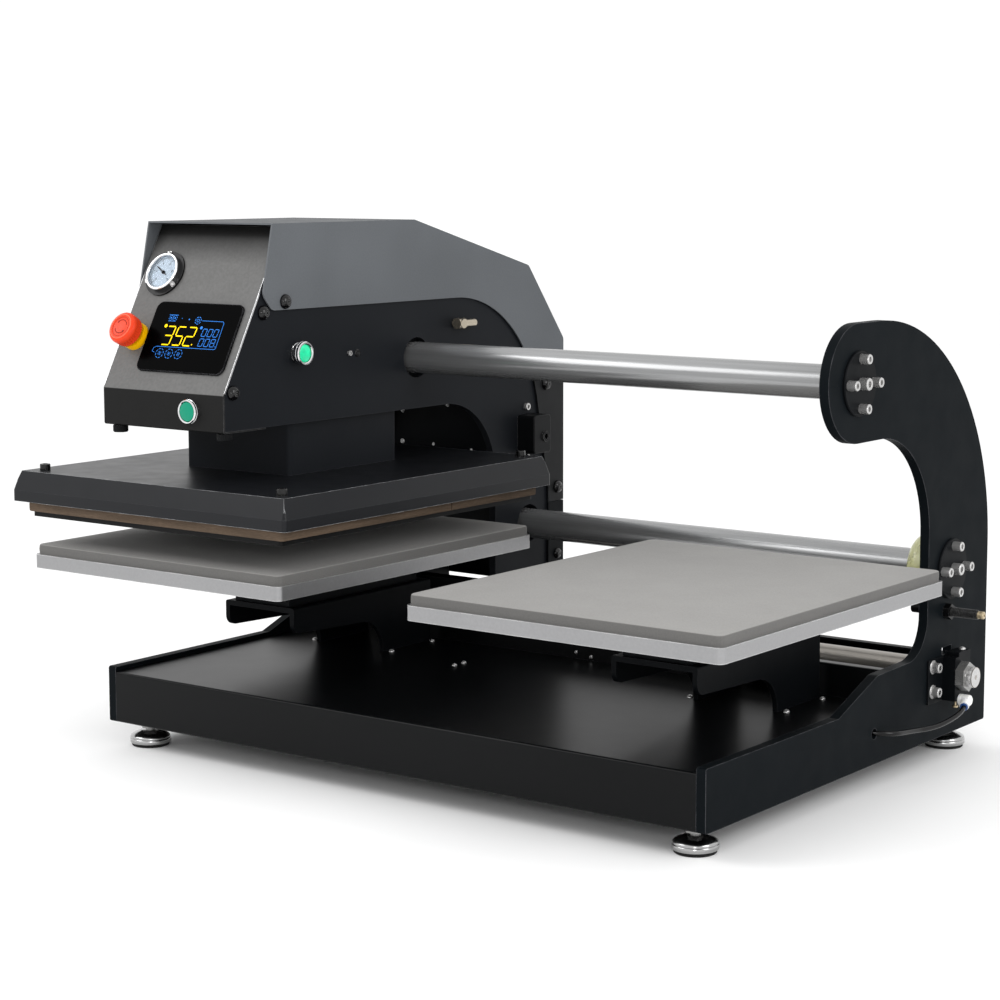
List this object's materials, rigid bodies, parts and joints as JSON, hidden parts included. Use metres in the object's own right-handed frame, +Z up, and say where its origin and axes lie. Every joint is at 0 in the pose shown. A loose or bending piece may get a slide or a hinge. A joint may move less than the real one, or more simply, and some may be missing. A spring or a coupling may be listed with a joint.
{
  "type": "dual station heat press",
  "caption": "Benchtop heat press: a hooded head with a heated platen shuttles on round rails between padded lower platens on a steel base.",
  "frame": {"origin": "middle of the overall footprint, on the floor under the foot pads", "axes": "+X from the left station to the right one, +Y from the operator to the back, +Z up"},
  "size_m": [1.019, 0.7362, 0.6555],
  "materials": {
    "black_paint": "satin",
    "deck_paint": "gloss",
    "charcoal_paint": "satin",
    "panel_paint": "satin",
    "cover_paint": "satin",
    "chrome_rail": "polished",
    "tube_steel": "satin",
    "zinc": "satin",
    "screw_steel": "polished",
    "rubber": "matte",
    "bumper_rubber": "satin",
    "brass": "satin",
    "white_plastic": "gloss",
    "black_hose": "gloss",
    "black_plastic": "matte",
    "aluminium": "satin",
    "coated_plate": "satin",
    "pad_foam": "matte",
    "insulation": "matte",
    "screen": "gloss",
    "dial_white": "satin",
    "glass": "polished",
    "yellow": "gloss",
    "red": "gloss",
    "teal": "gloss",
    "lit_green": "gloss"
  },
  "bodies": {
    "frame": {"side_plate_left": "black_paint", "side_plate_right": "black_paint", "base_pan": "deck_paint", "rear_channel": "black_paint", "foot_cups": "zinc", "foot_pads": "rubber", "foot_studs": "zinc", "upper_rail": "chrome_rail", "mid_rail": "chrome_rail", "rail_discs": "black_paint", "rail_screws": "screw_steel", "bumpers": "bumper_rubber", "shock_bodies": "black_paint", "drive_tube": "tube_steel", "drive_blocks": "black_paint", "drive_nuts": "zinc", "push_fitting": "white_plastic", "air_hose": "black_hose", "pedestal_left": "black_paint", "pedestal_right": "black_paint", "platen_carriers": "black_paint", "platen_left": "aluminium", "platen_right": "aluminium", "pad_left": "pad_foam", "pad_right": "pad_foam"},
    "shock_left": {"shock_plunger_left": "black_paint"},
    "shock_right": {"shock_plunger_right": "black_paint"},
    "head": {"head_side_left": "black_paint", "head_side_right": "black_paint", "head_deck": "black_paint", "rear_panel": "black_paint", "bearing_upper": "black_paint", "bearing_mid": "black_paint", "drive_slider": "black_paint", "hood": "charcoal_paint", "rear_cover": "black_paint", "control_panel": "panel_paint", "display": "screen", "gauge_flange": "black_paint", "gauge_bezel": "chrome_rail", "gauge_dial": "dial_white", "gauge_glass": "glass", "stop_collar": "yellow", "button_bezels": "chrome_rail", "flow_valve": "brass", "thumb_screws": "black_plastic", "press_cylinder": "aluminium", "cable_box": "black_plastic"},
    "needle": {"gauge_needle": "black_plastic"},
    "stop_core": {"stop_stem": "black_plastic"},
    "stop_knob": {"stop_head": "red"},
    "start_button": {"start_cap": "teal"},
    "side_button": {"side_cap": "lit_green"},
    "heat_platen": {"press_rods": "chrome_rail", "shroud": "black_paint", "heater_cover": "cover_paint", "cover_bolts": "black_paint", "insulation": "insulation", "heating_plate": "coated_plate"}
  },
  "joints": [
    {"name": "head_shuttle", "type": "slide", "parent": "frame", "child": "head", "axis": [1, 0, 0], "range_m": [0, 0.591]},
    {"name": "press_stroke", "type": "slide", "parent": "head", "child": "heat_platen", "axis": [0, 0, -1], "range_m": [0, 0.0345]},
    {"name": "stop_push", "type": "slide", "parent": "head", "child": "stop_core", "axis": [0, 0.8805, -0.4741], "range_m": [0, 0.0037]},
    {"name": "stop_twist", "type": "hinge", "parent": "stop_core", "child": "stop_knob", "pos_m": [-0.3575, -0.29913, 0.51738], "axis": [0, -0.8805, 0.4741], "range_deg": [0, 45], "stiffness_Nm_per_rad": 0.02},
    {"name": "gauge_sweep", "type": "hinge", "parent": "head", "child": "needle", "pos_m": [-0.347, -0.25885, 0.59219], "axis": [0, -0.8805, 0.4741], "range_deg": [-195, 75]},
    {"name": "start_push", "type": "slide", "parent": "head", "child": "start_button", "axis": [0, 1, 0], "range_m": [0, 0.003], "stiffness_N_per_m": 400},
    {"name": "side_push", "type": "slide", "parent": "head", "child": "side_button", "axis": [-1, 0, 0], "range_m": [0, 0.003], "stiffness_N_per_m": 400},
    {"name": "shock_right_stroke", "type": "slide", "parent": "frame", "child": "shock_right", "axis": [1, 0, 0], "range_m": [0, 0.007], "stiffness_N_per_m": 500},
    {"name": "shock_left_stroke", "type": "slide", "parent": "frame", "child": "shock_left", "axis": [-1, 0, 0], "range_m": [0, 0.007], "stiffness_N_per_m": 500}
  ]
}
